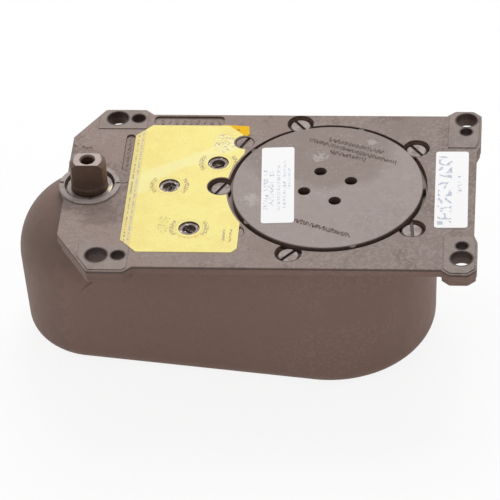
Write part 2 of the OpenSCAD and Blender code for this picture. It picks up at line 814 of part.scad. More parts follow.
module spring_hub() {
    color("#7d736c") difference() {
        translate([axis_gap, 0, 0]) union() {
            translate([0, 0, disc_z]) cylinder(r = plate_r, h = plate_t);
            translate([0, 0, disc_z]) cylinder(d = sleeve_d, h = arm_top_z - disc_z);
            rotate([0, 0, rest_turn]) translate([0, 0, arm_z])
                linear_extrude(arm_t) arm_plan(sleeve_d / 2 + 2);
        }
        translate([axis_gap, 0, disc_z - 1]) cylinder(r = post_r + run, h = depth);
        translate([axis_gap, 0, 0]) rotate([0, 0, rest_turn]) translate([crank_r, 0, arm_z - 1])
            cylinder(d = pin_d, h = arm_t + 2);
        at_leg(leg_end_turn) translate([0, 0, disc_z - 1]) cylinder(r = leg_hole_r, h = plate_t + 2);
    }
}

module hub_pin() {
    color("#9a928c") translate([axis_gap, 0, 0]) at_crank_pin() link_pin();
}

module hub_washer() {
    color("#b08d4f") translate([axis_gap, 0, core_top_z]) difference() {
        cylinder(d = post_core_d, h = washer_t);
        translate([0, 0, -1]) cylinder(r = post_r + run, h = washer_t + 2);
    }
}

module spring_post() {
    color("#8c837d") translate([axis_gap, 0, 0]) {
        translate([0, 0, floor_t - 1 + seat_gap]) cylinder(r = post_r, h = plate_z - floor_t + 1);
        translate([0, 0, plate_z]) cylinder(r = hex_r, h = plate_t, $fn = 6);
        translate([0, 0, plate_top_z]) cylinder(d = post_core_d, h = core_top_z - plate_top_z);
        translate([0, 0, core_top_z - eps]) cylinder(r = post_r, h = ledge_z - core_top_z);
        translate([0, 0, ledge_z - post_flange_t]) cylinder(r = post_flange_r, h = post_flange_t);
        translate([0, 0, ledge_z - eps]) cylinder(r = hex_r, h = cover_hex_deep - seat_gap, $fn = 6);
    }
}

module anchor_plate() {
    color("#7d736c") difference() {
        translate([axis_gap, 0, plate_z]) cylinder(r = plate_r, h = plate_t);
        translate([axis_gap, 0, plate_z - 1]) cylinder(r = hex_r, h = plate_t + 2, $fn = 6);
        at_leg(0) translate([0, 0, plate_z - 1]) cylinder(r = leg_hole_r, h = plate_t + 2);
    }
}

// Spring wire as a swept ring of sides, with a leg at each end
module torsion_spring() {
    sides = 10;
    per_turn = 28;
    rings = per_turn * coil_turns;
    wire_r = wire_d / 2;
    points = [for (k = [0 : rings], s = [0 : sides - 1]) let (
        turn = 360 * k / per_turn,
        r = coil_r + wire_r * cos(360 * s / sides),
        z = coil_h * k / rings + wire_r * sin(360 * s / sides)
    ) [r * cos(turn), r * sin(turn), z]];
    last = rings * sides;
    faces = concat(
        [[for (s = [sides - 1 : -1 : 0]) s]],
        [for (k = [0 : rings - 1], s = [0 : sides - 1])
            [k * sides + s, k * sides + (s + 1) % sides,
             (k + 1) * sides + (s + 1) % sides, (k + 1) * sides + s]],
        [[for (s = [0 : sides - 1]) last + s]]
    );
    color("#5b5450") {
        translate([axis_gap, 0, coil_z]) rotate([0, 0, leg_turn]) polyhedron(points, faces, convexity = 10);
        at_leg(0) translate([0, 0, plate_z]) cylinder(r = wire_r, h = coil_z - plate_z, $fn = 12);
        at_leg(leg_end_turn) translate([0, 0, coil_z + coil_h])
            cylinder(r = wire_r, h = disc_top_z - coil_z - coil_h, $fn = 12);
    }
}

module spring_cover() {
    color("#a39691") translate([axis_gap, 0, 0]) difference() {
        union() {
            translate([0, 0, ledge_z]) cylinder(r = rim_r, h = rim_top_z - ledge_z);
            translate([0, 0, ledge_z]) cylinder(r = cover_r, h = cover_z - ledge_z - 0.5);
            translate([0, 0, cover_z - 0.5 - eps]) cylinder(r1 = cover_r, r2 = cover_r - 0.5, h = 0.5 + eps);
            for (k = [0 : clamp_count - 1]) rotate([0, 0, clamp_step * k])
                translate([cover_r - 0.7, 0, ledge_z]) cylinder(r = lobe_r, h = cover_z - ledge_z - 0.4);
        }
        for (k = [0 : 3]) rotate([0, 0, spanner_turn + 90 * k])
            translate([spanner_ring, 0, cover_z - spanner_deep])
                cylinder(d = spanner_d, h = spanner_deep + 1);
        translate([0, 0, ledge_z - 1]) cylinder(r = hex_r, h = cover_hex_deep + 1, $fn = 6);
        // Groove of the sealing ring, and the lightened underside
        translate([0, 0, ring_z]) difference() {
            cylinder(r = rim_r + 1, h = ring_h);
            translate([0, 0, -1]) cylinder(r = rim_r - ring_t, h = ring_h + 2);
        }
        translate([0, 0, ledge_z - 1]) difference() {
            cylinder(r = ledge_r - 6, h = 7);
            translate([0, 0, -1]) cylinder(r = post_flange_r + 4, h = 9);
        }
    }
}

module cover_ring() {
    color("#2b2725") translate([axis_gap, 0, ring_z]) difference() {
        cylinder(r = opening_r - 0.05, h = ring_h);
        translate([0, 0, -1]) cylinder(r = rim_r - ring_t, h = ring_h + 2);
    }
}

// ---------------------------------------------------------------- Damper

module cylinder_block() {
    color("#8d857f") difference() {
        union() {
            translate([block_x, cylinder_y - cylinder_r - block_wall, block_z])
                cube([block_end - block_x, closing_at.y + column_r + cylinder_r + block_wall - cylinder_y,
                      block_top_z - block_z]);
            translate([backcheck_at.x, backcheck_at.y, boss_z])
                cylinder(r = column_r, h = block_top_z - boss_z);
            translate([backcheck_at.x - column_r, backcheck_at.y, boss_z])
                cube([2 * column_r, cylinder_y - cylinder_r - backcheck_at.y, block_top_z - boss_z]);
            for (p = BLOCK_SCREWS) hull() for (y = [p.y, p.y > 0 ? 20 : -24])
                translate([p.x, y, boss_z]) cylinder(r = foot_w / 2 + 1, h = foot_t, $fn = 32);
        }
        translate([block_x - 1, cylinder_y, piston_z]) rotate([0, 90, 0])
            cylinder(r = cylinder_r, h = block_end - block_x - end_plug_t + 1);
        translate([block_x, cylinder_y, piston_z]) rotate([0, 90, 0]) cylinder(d = end_plug_d, h = block_end);
        for (v = VALVES) translate([v.x, v.y, block_top_z - stem_deep])
            cylinder(r = valve_stem_d / 2 + valve_clear, h = depth);
        for (p = BLOCK_SCREWS) translate([p.x, p.y, 0]) cylinder(d = 6.4, h = depth);
    }
}

module cylinder_plug() {
    color("#9a928c") translate([block_end - end_plug_t, cylinder_y, piston_z])
        rotate([0, 90, 0]) difference() {
        cylinder(d = end_plug_d, h = end_plug_t);
        translate([0, 0, end_plug_t / 2]) cylinder(r = end_plug_d / 5, h = end_plug_t, $fn = 6);
    }
}

module block_screws() {
    color("#7d7672") for (p = BLOCK_SCREWS) translate([p.x, p.y, boss_z + foot_t]) difference() {
        union() {
            cylinder(d = 10, h = 6);
            translate([0, 0, -foot_t - 8]) cylinder(d = 6, h = foot_t + 9);
        }
        translate([0, 0, 3]) cylinder(r = 2.9, h = 4, $fn = 6);
    }
}

// Rack teeth along X, rooted below the pitch line, with a space at x = 0
module rack_teeth(from, to) {
    pitch = PI * gear_module;
    k = tan(pressure);
    half_tip = pitch / 4 - k * addendum;
    half_root = pitch / 4 + k * dedendum;
    for (n = [ceil((from + half_root) / pitch - 0.5) : floor((to - half_root) / pitch - 0.5)])
        translate([(n + 0.5) * pitch, 0]) polygon([
            [-half_root, -dedendum], [-half_tip, addendum], [half_tip, addendum], [half_root, -dedendum],
            [half_root, -dedendum - 1], [-half_root, -dedendum - 1]
        ]);
}

ball_r = 3;
ball_y = cylinder_y + 9;
piston_end = piston_x + piston_len;
module rack_piston() {
    color("#857b74") difference() {
        union() {
            translate([piston_x, cylinder_y, piston_z]) rotate([0, 90, 0])
                cylinder(r = cylinder_r - run, h = piston_len);
            translate([0, -pitch_r, piston_z - rack_h / 2]) linear_extrude(rack_h) {
                rack_teeth(rack_from, pitch_r * 0.8);
                translate([rack_from, -dedendum - rack_back]) square([piston_x - rack_from + 1, rack_back]);
            }
        }
        // Groove of the piston ring
        translate([piston_x + 8, cylinder_y, piston_z]) rotate([0, 90, 0]) difference() {
            cylinder(r = cylinder_r + 1, h = 3);
            translate([0, 0, -1]) cylinder(r = cylinder_r - 2, h = 5);
        }
        // Check valve: passage, ball chamber and the retainer's seat
        translate([piston_x - 1, ball_y, piston_z]) rotate([0, 90, 0]) cylinder(r = 1.8, h = piston_len);
        translate([piston_x + 10, ball_y, piston_z]) rotate([0, 90, 0])
            cylinder(r = ball_r + 0.3, h = piston_len);
        translate([piston_end - 2, ball_y, piston_z]) rotate([0, 90, 0]) cylinder(r = ball_r + 1.5, h = 3);
    }
}

module piston_ring() {
    color("#3b3633") translate([piston_x + 8, cylinder_y, piston_z]) rotate([0, 90, 0]) difference() {
        cylinder(r = cylinder_r - run / 2, h = 3);
        translate([0, 0, -1]) cylinder(r = cylinder_r - 2, h = 5);
    }
}

module check_ball() {
    color("#b9b3ae") translate([piston_end - 2 - ball_r - 0.2, ball_y, piston_z]) sphere(ball_r);
}

module ball_retainer() {
    color("#9a928c") translate([piston_end - 2, ball_y, piston_z]) rotate([0, 90, 0]) difference() {
        cylinder(r = ball_r + 1.5, h = 2);
        translate([0, 0, -1]) cylinder(r = 1.5, h = 4);
    }
}

// Damping valve at a place: slotted head with a ring groove, and a stem down to its passage
module damping_valve(at, turn) {
    groove_z = valve_z + 2;
    stem_z = block_top_z - stem_deep + 0.5;
    color("#8d8680") translate([at.x, at.y, 0]) difference() {
        union() {
            translate([0, 0, valve_z]) cylinder(d = valve_d, h = valve_head_h);
            translate([0, 0, stem_z + 2]) cylinder(d = valve_stem_d, h = valve_z - stem_z - 2 + eps);
            translate([0, 0, stem_z]) cylinder(d1 = 2, d2 = valve_stem_d, h = 2 + eps);
        }
        translate([0, 0, groove_z]) difference() {
            cylinder(d = valve_d + 2, h = o_ring_h);
            translate([0, 0, -1]) cylinder(r = valve_d / 2 - o_ring_t, h = o_ring_h + 2);
        }
        translate([0, 0, valve_z + valve_head_h - 2.5]) cylinder(r = valve_d / 2 - 2.2, h = 3);
        rotate([0, 0, turn]) translate([0, 0, valve_z + valve_head_h - 2.5])
            cube([valve_d - 5, 1.6, 4], center = true);
    }
}

module valve_o_ring(at) {
    color("#2b2725") translate([at.x, at.y, valve_z + 2]) difference() {
        cylinder(r = valve_d / 2 + valve_clear - 0.05, h = o_ring_h);
        translate([0, 0, -1]) cylinder(r = valve_d / 2 - o_ring_t, h = o_ring_h + 2);
    }
}

module closing_valve() damping_valve(closing_at, 25);
module latching_valve() damping_valve(latching_at, 70);
module backcheck_valve() damping_valve(backcheck_at, 140);
module closing_o_ring() valve_o_ring(closing_at);
module latching_o_ring() valve_o_ring(latching_at);
module backcheck_o_ring() valve_o_ring(backcheck_at);

// ---------------------------------------------------------------- Labels

// Outline of the deck label before its cut-outs
module deck_label_outline() {
    left = 25.6;
    right = 101.6;
    back = label_back;
    front = label_inset - half_w;
    offset(1, $fn = 24) offset(-1) polygon([
        [left, back - 11], [left + 10.5, back], [right - 14, back], [right - 2, back - 12], [right - 2, 30],
        [right, -30], [right, front + 4], [right - 3.5, front], [left + 11, front], [left, front + 11.5]
    ]);
}

// The deck label, clear of the cover, a clamp screw, a plug and the valves
module deck_label_plan() {
    difference() {
        deck_label_outline();
        translate([axis_gap, 0]) circle(opening_r + label_gap);
        translate([axis_gap - clamp_ring, 0]) circle(clamp_recess_d / 2 + label_gap / 2);
        translate([plug_x, plug_y]) circle(plug_d / 2 + label_gap);
        for (v = VALVES) translate(v) circle(valve_d / 2 + valve_clear);
    }
}

module deck_label() {
    color("#ffee96") translate([0, 0, depth]) linear_extrude(label_t) deck_label_plan();
}

module tab_label() {
    color("#fac823") translate([0, 0, depth]) linear_extrude(label_t) difference() {
        translate([0, label_back])
            polygon([[83, 0.8], [100.6, -0.4], [101.6, -8.8], [99.9, -11], [84, -5.8]]);
        offset(0.1, $fn = 24) deck_label_plan();
    }
}

// White label with rounded corners
module tag(at, z, turn, length) {
    translate([at.x, at.y, z]) rotate([0, 0, turn]) linear_extrude(label_t)
        offset(2, $fn = 24) square([tag_w - 4, length - 4], center = true);
}

module tail_label() {
    color("white") tag([tail_x - tag_margin - tag_w / 2, -1.3],
            depth, 0.6, 2 * (ear_y - rear_ear - tag_clear));
}

module cover_label() {
    color("white") tag([axis_gap - cover_r + tag_inset + tag_w / 2, 0.7], cover_z, 3.3, tag_len);
}

case_casting();
gland_ring();
shaft_seal();
upper_bush();
lower_bush();
gland_lock_screw();
cylinder_block();
cylinder_plug();
block_screws();
clamp_screws();
passage_plugs();
deck_label();
tab_label();
tail_label();
spindle();
crank_arm();
drive_keys();
crank_pin();
drive_pinion();
link_bar();
link_bushes();
spring_hub();
hub_washer();
hub_pin();
spring_cover();
cover_ring();
spring_post();
anchor_plate();
torsion_spring();
cover_label();
rack_piston();
piston_ring();
check_ball();
ball_retainer();
closing_valve();
latching_valve();
backcheck_valve();
closing_o_ring();
latching_o_ring();
backcheck_o_ring();
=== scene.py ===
"""Looks of a floor spring door closer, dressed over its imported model.

Blender's lengths are metres. The finishes and the rows of marks are laid out in mm, in the model's own frame.
"""

import json
import math
from functools import reduce

import bpy
from mathutils import Matrix, Vector


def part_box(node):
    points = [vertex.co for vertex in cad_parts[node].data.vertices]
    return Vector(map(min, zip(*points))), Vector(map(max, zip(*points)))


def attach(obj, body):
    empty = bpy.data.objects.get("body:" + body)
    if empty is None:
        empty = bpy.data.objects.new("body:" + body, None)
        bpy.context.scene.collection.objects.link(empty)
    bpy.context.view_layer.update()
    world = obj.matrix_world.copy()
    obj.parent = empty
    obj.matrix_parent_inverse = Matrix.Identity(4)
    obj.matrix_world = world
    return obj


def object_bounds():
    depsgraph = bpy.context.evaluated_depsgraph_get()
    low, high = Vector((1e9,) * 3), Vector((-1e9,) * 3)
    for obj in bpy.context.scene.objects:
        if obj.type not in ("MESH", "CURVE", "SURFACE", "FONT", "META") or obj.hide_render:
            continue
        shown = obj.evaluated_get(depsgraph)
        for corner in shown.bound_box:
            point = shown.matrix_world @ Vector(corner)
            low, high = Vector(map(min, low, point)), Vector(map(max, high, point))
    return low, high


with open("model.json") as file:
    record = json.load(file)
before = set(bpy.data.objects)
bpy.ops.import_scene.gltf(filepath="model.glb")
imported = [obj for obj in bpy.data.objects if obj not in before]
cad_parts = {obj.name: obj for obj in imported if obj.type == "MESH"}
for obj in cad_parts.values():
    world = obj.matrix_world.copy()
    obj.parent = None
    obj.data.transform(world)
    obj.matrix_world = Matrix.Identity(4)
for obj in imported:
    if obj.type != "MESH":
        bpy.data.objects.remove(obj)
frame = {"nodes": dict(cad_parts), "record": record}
cad_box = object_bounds()

MM = 0.001
PER_MM = 1 / MM


# ------------------------------------------------------------------ Places on the closer, in mm

def middle(node):
    """Centre of a node's box on the plan."""
    low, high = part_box(node)
    return ((low.x + high.x) / 2 * PER_MM, (low.y + high.y) / 2 * PER_MM)


def top(node):
    """Height of a node's highest point."""
    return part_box(node)[1].z * PER_MM


def deck_holes():
    """Centre and radius of each hole through the deck, from the record's mounts."""
    holes = set()
    for mount in frame["record"]["mounts"]:
        if mount["kind"] == "bolt_pattern":
            x, y = mount["pos_m"][0] * PER_MM, mount["pos_m"][1] * PER_MM
            apart_x, apart_y = (mount["dims"].get(f"spacing_{axis}_mm", 0) / 2 for axis in "xy")
            holes |= {(x + along * apart_x, y + across * apart_y, mount["dims"]["hole_r_mm"])
                      for along in (-1, 1) for across in (-1, 1)}
    return sorted(holes)


VALVES = [middle(node) for node in ("closing_valve", "latching_valve", "backcheck_valve")]
BACKCHECK = VALVES[2]
DECK_TOP = top("gland_lock_screw")
PAD_TOP = top("case_casting")
COVER_TOP = top("spring_cover")
SPINDLE_TOP = top("spindle")
# Just below the clamp screws' seats, and the floor of the two cast recesses
BELOW_SCREW_SEATS = DECK_TOP - 5.6
RECESS_FLOOR = DECK_TOP - 1.5

# Chips in the deck's paint, and pale spots on the cover that are partly wear and partly painted highlight: x,
# y and size
CHIPS = ((-8.6, 40.4, 1.5), (-6.2, 39.2, 1.6), (-3.4, 39.8, 1.2), (-14.2, 41.6, 1.5))
COVER_SPOTS = ((150, 30, 7), (183, 46, 5), (108, -14, 9), (175, 42, 3))
# Middles of larger marks: a painted shadow on the deck, painted shade round the gland, marks on the cover,
# and on the yellow and orange labels
SPINDLE_SHADOW = (10, -30)
GLAND_SHADE = (3, -3)
COVER_SHADE = (146, 56)
COVER_LIGHT = (196, -40)
LABEL_GLARE = (33, -2)
LABEL_SPECKLES = (86, 45)
TAB_SPOT = (93.8, 59.2)

# Columns of strokes on each white label: offset across it, half width, first and last end along it, and pitch
COVER_TAG = ((-7.6, 1.6, -25, 15, 3.3), (-4.0, 1.3, -22, 14, 2.8), (0.6, 0.9, -27, 20, 2.9),
             (4.4, 0.9, -24, 26, 3.6), (7.4, 0.7, -5, 24, 4.3))
TAIL_TAG = ((-4.4, 4.4, -36, 34, 7.9), (5.2, 1.3, -4, 14, 2.8))

# Start and end of each row of raised marks
COVER_ROWS = (((155.8, 48.6), (190.6, 35.7)), ((142.4, 48.5), (200.1, 24.8)), ((157.2, 35.8), (179.6, 27.6)),
              ((137.3, -34.9), (172.8, -49.9)))
RECESS_ROWS = (((42, 69.1), (80, 69.1)), ((22.3, 19), (22.3, 51)))


# ------------------------------------------------------------------ Node trees

def ink(red, green, blue):
    """A colour written as 0-255 screen values, as a shader wants it."""
    def linear(value):
        value /= 255
        return value / 12.92 if value <= 0.04045 else ((value + 0.055) / 1.055) ** 2.4
    return (linear(red), linear(green), linear(blue), 1.0)


class Signal:
    """What a socket gives in a node tree. Arithmetic on it adds Math nodes."""

    def __init__(self, nodes, socket):
        self.nodes = nodes
        self.socket = socket

    def math(self, operation, *values):
        return self.nodes.node("ShaderNodeMath", {"operation": operation}, values)

    def __add__(self, other):
        return self.math("ADD", self, other)

    def __sub__(self, other):
        return self.math("SUBTRACT", self, other)

    def __rsub__(self, other):
        return self.math("SUBTRACT", other, self)

    def __mul__(self, other):
        return self.math("MULTIPLY", self, other)

    def __truediv__(self, other):
        return self.math("DIVIDE", self, other)

    def __abs__(self):
        return self.math("ABSOLUTE", self)

    def __floor__(self):
        return self.math("FLOOR", self)

    __radd__ = __add__
    __rmul__ = __mul__

    def larger(self, other):
        return self.math("MAXIMUM", self, other)

    def smaller(self, other):
        return self.math("MINIMUM", self, other)

    def rises(self, low, high):
        """0 below low and 1 above high, with a soft step between."""
        return self.nodes.node("ShaderNodeMapRange", {"interpolation_type": "SMOOTHSTEP"},
                               {"Value": self, "From Min": low, "From Max": high})

    def within(self, half, soft):
        """1 where the value is nearer to 0 than half, fading out over soft."""
        return 1 - abs(self).rises(half, half + soft)


class Nodes:
    """Adds nodes to one tree, with values or signals in their sockets."""

    def __init__(self, tree):
        self.tree = tree

    def feed(self, socket, value):
        """Links a signal to a socket, or sets a plain value on it."""
        if isinstance(value, Signal):
            self.tree.links.new(value.socket, socket)
        else:
            socket.default_value = value

    def node(self, kind, settings=None, values=(), output=0):
        """Adds a node with its settings and its sockets' values, and gives one output."""
        node = self.tree.nodes.new(kind)
        for name, value in (settings or {}).items():
            setattr(node, name, value)
        for key, value in (values.items() if isinstance(values, dict) else enumerate(values)):
            self.feed(node.inputs[key], value)
        return Signal(self, node.outputs[output])

    def vector(self, x, y, z):
        return self.node("ShaderNodeCombineXYZ", {}, [x, y, z])

    def parts(self, vector):
        """A vector's three parts, as signals."""
        split = self.node("ShaderNodeSeparateXYZ", {}, [vector])
        return [Signal(self, output) for output in split.socket.node.outputs]

    def seen_plainly(self):
        """1 where the camera, a mirror or glass shows this, and 0 where it lights the closer."""
        rays = ("Is Camera Ray", "Is Glossy Ray", "Is Transmission Ray")
        return reduce(Signal.larger, [self.node("ShaderNodeLightPath", output=ray) for ray in rays])


class Finish(Nodes):
    """One procedural material. Patterns read the place on the object, in mm."""

    def __init__(self, name, rough=0.5, metallic=0.0, **settings):
        self.material = bpy.data.materials.new(name)
        self.material.use_nodes = True
        super().__init__(self.material.node_tree)
        self.shader = self.tree.nodes["Principled BSDF"]
        self.set(Roughness=rough, Metallic=metallic, **settings)
        place = self.node("ShaderNodeTexCoord", output="Object")
        self.place = self.node("ShaderNodeVectorMath", {"operation": "SCALE"}, {0: place, "Scale": PER_MM})
        self.x, self.y, self.z = self.parts(self.place)
        self.facing = self.parts(self.node("ShaderNodeNewGeometry", output="Normal"))

    def set(self, **values):
        """Sets the shader's own sockets, from numbers or signals."""
        for name, value in values.items():
            self.feed(self.shader.inputs[name.replace("_", " ")], value)

    def noise(self, size, detail, place=None):
        """Cloudy noise about 0.5, whose patches are about size mm across."""
        return self.node("ShaderNodeTexNoise", {}, {
            "Vector": place or self.place, "Scale": 1 / size, "Detail": detail, "Roughness": 0.55})

    def blend(self, share, first, second):
        """The first tone where share is 0, and the second where it is 1."""
        return self.node("ShaderNodeMix", {"data_type": "RGBA"}, {0: share, 6: first, 7: second}, output=2)

    def coats(self, tone, *coats):
        """Lays coats over a tone in turn, each given as its mask, its strength and its tone."""
        for mask, strength, coat in coats:
            tone = self.blend(mask * strength, tone, coat)
        return tone

    def above(self, level, soft):
        """0 below a level and 1 above it, with a step soft mm high about it."""
        return self.z.rises(level - soft / 2, level + soft / 2)

    def reach(self, x, y):
        """Distance on the plan from a point, in mm."""
        return self.node("ShaderNodeVectorMath", {"operation": "DISTANCE"},
                         [self.vector(self.x, self.y, 0.0), (x, y, 0.0)], output="Value")

    def soften(self, radius):
        """Normal that rolls over sharp edges."""
        return self.node("ShaderNodeBevel", {"samples": 6}, {"Radius": radius * MM})

    def bump(self, height, depth, normal=None):
        """Normal of a surface that rises by depth mm with a signal."""
        values = {"Height": height, "Distance": depth * MM}
        if normal:
            values["Normal"] = normal
        return self.node("ShaderNodeBump", {}, values)


# ------------------------------------------------------------------ Painted casting and cover

class CastPaint(Finish):
    """Grey-brown paint over the rough casting, and the patterns that its deck and walls share."""

    def __init__(self):
        super().__init__("cast_paint")
        self.mottle, self.speck = self.noise(2.6, 3), self.noise(1.1, 2)
        self.patch, self.cloud = self.noise(55, 2), self.noise(9, 4)
        self.up = self.facing[2].rises(0.75, 0.95)
        self.machined = self.up * self.above(BELOW_SCREW_SEATS, 0.4)
        # Painted shade along the pads' steps and round the floors of the cast recesses
        steps = (self.z - (PAD_TOP - 0.28)).within(0.16, 0.05)
        floors = (self.z - (RECESS_FLOOR + 0.4)).within(0.55, 0.15)
        self.step_shade = steps.larger(floors) * (1 - self.up)

    def deck(self):
        """The machined deck with its blotches, chips and specks, and painted shade: a shadow in front of the
        spindle, a ring round the gland, the pads' steps, the recess floors and the sunk floors.
        """
        mottle, patch = self.mottle, self.patch
        blotch = self.noise(22, 4) + patch * 0.5
        pad = self.up * self.above(PAD_TOP - 0.125, 0.15)
        # Painted shadow of the spindle and the gland ring: a cloudy dark patch on the deck in front of them
        dark_patch = (self.reach(*SPINDLE_SHADOW) / 26 + self.cloud * 1.1).within(0.86, 0.25)
        # Painted shade: a darker ring on the deck round the foot of the gland ring
        ring = (self.reach(*GLAND_SHADE) - 22).within(4.5, 3) * mottle.rises(0.4, 0.62)
        chips = [(self.reach(x, y) / size + mottle * 1.6).within(1.5, 0.2) for x, y, size in CHIPS]
        # Painted shade on the sunk floors between the clamp screws' seats and the cast recesses' floor level
        sunk_shade = self.above(BELOW_SCREW_SEATS, 0.2) * (1 - self.above(RECESS_FLOOR - 0.2, 0.2))
        return self.coats(
            self.blend(self.x.rises(30, 250), ink(146, 127, 118), ink(132, 115, 108)),
            (blotch.rises(0.76, 0.92), 0.8, ink(114, 97, 89)),
            (mottle.rises(0.5, 0.57) * patch.rises(0.4, 0.52), 0.5, ink(157, 143, 138)),
            (pad, 0.5, ink(150, 136, 131)),
            (dark_patch, 0.6, ink(108, 90, 81)),
            (ring, 0.55, ink(92, 74, 66)),
            *[(chip, 0.8, ink(73, 55, 46)) for chip in chips],
            (self.speck.rises(0.6, 0.7), 0.5, ink(92, 74, 66)),
            (self.noise(1.7, 2).rises(0.64, 0.72), 0.5, ink(170, 158, 154)),
            (self.step_shade, 0.75, ink(60, 42, 34)),
            (sunk_shade, 0.8, ink(66, 48, 40)))

    def walls(self):
        """The rough walls, with painted shade where they face left at the nose and where they face up, and a
        painted shadow high on them under the deck.
        """
        pale = self.mottle.rises(0.5, 0.56) * self.x.rises(90, 150) * self.patch.rises(0.42, 0.52)
        # Painted shade on walls that face left, and a painted shadow high on the walls under the deck
        shade_facing_left = (self.cloud * 0.9 - self.facing[0] - 0.45).rises(0.3, 0.42)
        shadow_under_deck = (self.z + self.cloud * 34 - self.x.larger(0) * 0.16).rises(DECK_TOP - 3, DECK_TOP + 3)
        specks = self.speck.rises(0.62, 0.68) * (1 - self.x.rises(60, 200) * 0.7)
        return self.coats(
            ink(140, 111, 98),
            (pale, 0.3, ink(160, 134, 122)),
            (shade_facing_left.larger(shadow_under_deck), 0.55, ink(124, 101, 91)),
            # Painted shade: walls that face up are darkened
            (self.facing[2].rises(0.08, 0.55), 0.62, ink(112, 91, 82)),
            (specks, 0.5, ink(108, 86, 76)))

    def with_shaded_holes(self, clean):
        """Painted shade round the rims and down the walls of the deck's holes, darkest near the top."""
        rims = [1 - (self.reach(x, y) - radius).rises(0.5, 1.5) for x, y, radius in deck_holes()]
        share = reduce(Signal.larger, rims) * self.above(DECK_TOP - 14.5, 1) * (0.75 + self.mottle * 0.3)
        painted_shade = self.blend(self.above(DECK_TOP - 4.25, 2.5), ink(104, 85, 77), ink(58, 41, 33))
        return self.blend(share, clean, painted_shade)


def cast_finish():
    """The casting's paint, paler where the deck is machined."""
    paint = CastPaint()
    clean = paint.blend(paint.machined.larger(paint.step_shade), paint.walls(), paint.deck())
    paint.set(Base_Color=paint.with_shaded_holes(clean))
    paint.set(Roughness=paint.noise(6, 3) * 0.25 + 0.5)
    grain = paint.noise(1.4, 3) * (1 - paint.machined * 0.6) + paint.noise(5, 2) * 0.9
    paint.set(Normal=paint.bump(grain, 0.16, paint.soften(0.9)))
    return paint.material


def cover_finish():
    """The same paint on the turned cover, worn paler and scuffed in places, with painted shade over its upper
    left and painted highlight mixed into its pale spots, streaks and flecks.
    """
    paint = Finish("cover_paint")
    mottle = paint.noise(2.6, 3)
    scuff_and_sheen = paint.noise(14, 5, paint.vector(paint.x * 0.55 + paint.y * 0.5, paint.y - paint.x * 0.3, 0.0))
    shade = (paint.reach(*COVER_SHADE) / 62 + paint.noise(24, 3) * 0.5).within(1.05, 0.25)
    light = (paint.reach(*COVER_LIGHT) / 30 + paint.noise(18, 3)).within(1.1, 0.3)
    # The pale spots, scuffs and flecks are partly wear and partly painted highlight
    spots = [(paint.reach(x, y) / size + mottle * 2.2).within(1.5, 0.3) for x, y, size in COVER_SPOTS]
    face = paint.coats(
        ink(151, 137, 132),
        (shade, 0.75, ink(124, 106, 98)),
        (light * mottle.rises(0.47, 0.55), 0.5, ink(138, 123, 117)),
        (scuff_and_sheen.rises(0.6, 0.72) * mottle.rises(0.4, 0.5), 0.4, ink(172, 160, 156)),
        *[(spot, 0.5, ink(190, 180, 174)) for spot in spots],
        (paint.noise(1.2, 2).rises(0.64, 0.72), 0.4, ink(122, 104, 96)),
        (paint.noise(1.5, 2).rises(0.62, 0.69) * paint.noise(12, 2).rises(0.4, 0.6), 0.5, ink(186, 175, 170)))
    # The lobes and the rim lie lower than the face and are darkened as painted shade, the rim's side darkest
    # low in the gap and its up-facing ledge pale
    up = paint.facing[2].rises(0.6, 0.9)
    face = paint.blend(paint.above(COVER_TOP - 0.25, 0.1), ink(84, 67, 59), face)
    rim = paint.blend(paint.above(COVER_TOP - 3.5, 4), ink(72, 54, 45), ink(100, 82, 74))
    rim = paint.blend(up, rim, ink(164, 148, 141))
    paint.set(Base_Color=paint.blend(up * paint.above(COVER_TOP - 1.35, 0.3), rim, face))
    paint.set(Roughness=paint.noise(5, 3) * 0.25 + 0.4)
    grain = paint.noise(1.6, 3) + paint.noise(7, 2)
    paint.set(Normal=paint.bump(grain, 0.12, paint.soften(0.5)))
    return paint.material


# ------------------------------------------------------------------ Bare metal and rubber

def spindle_finish():
    """Oil-blacked steel whose ground end shows bright, darker near the seal."""
    steel = Finish("blacked_steel", metallic=0.3, rough=0.42)
    end = steel.facing[2].rises(0.9, 0.97) * steel.above(SPINDLE_TOP - 4.3, 1)
    streak = steel.noise(3, 4, steel.vector(steel.x, steel.y, steel.z * 0.25))
    side = steel.blend(streak.rises(0.5, 0.7) * 0.5, ink(102, 80, 69), ink(112, 90, 80))
    above_seal = (steel.z + steel.noise(5, 3) * 8).rises(DECK_TOP + 4, DECK_TOP + 8)
    side = steel.blend(above_seal, ink(72, 54, 45), side)
    side = steel.blend(steel.noise(0.9, 2).rises(0.66, 0.74) * 0.5, side, ink(130, 112, 104))
    bright = steel.blend(steel.noise(2.5, 3).rises(0.5, 0.7) * 0.5, ink(162, 148, 143), ink(132, 115, 108))
    steel.set(Base_Color=steel.blend(end, side, bright))
    steel.set(Roughness=steel.noise(3, 3) * 0.3 + 0.3)
    steel.set(Normal=steel.bump(steel.noise(1.2, 3), 0.05, steel.soften(0.4)))
    return steel.material


def turned_finish(name, tone, dark, metallic=0.75, rough=0.35):
    """Metal turned about the spindle's axis: fine rings, with a little staining."""
    steel = Finish(name, metallic=metallic)
    rings = steel.noise(0.5, 2, steel.vector(steel.reach(0, 0), 0.0, steel.z))
    steel.set(Base_Color=steel.blend(steel.noise(4, 4).rises(0.5, 0.72), tone, dark))
    steel.set(Roughness=rings * 0.2 + (rough - 0.1))
    steel.set(Normal=steel.bump(rings, 0.03, steel.soften(0.3)))
    return steel.material


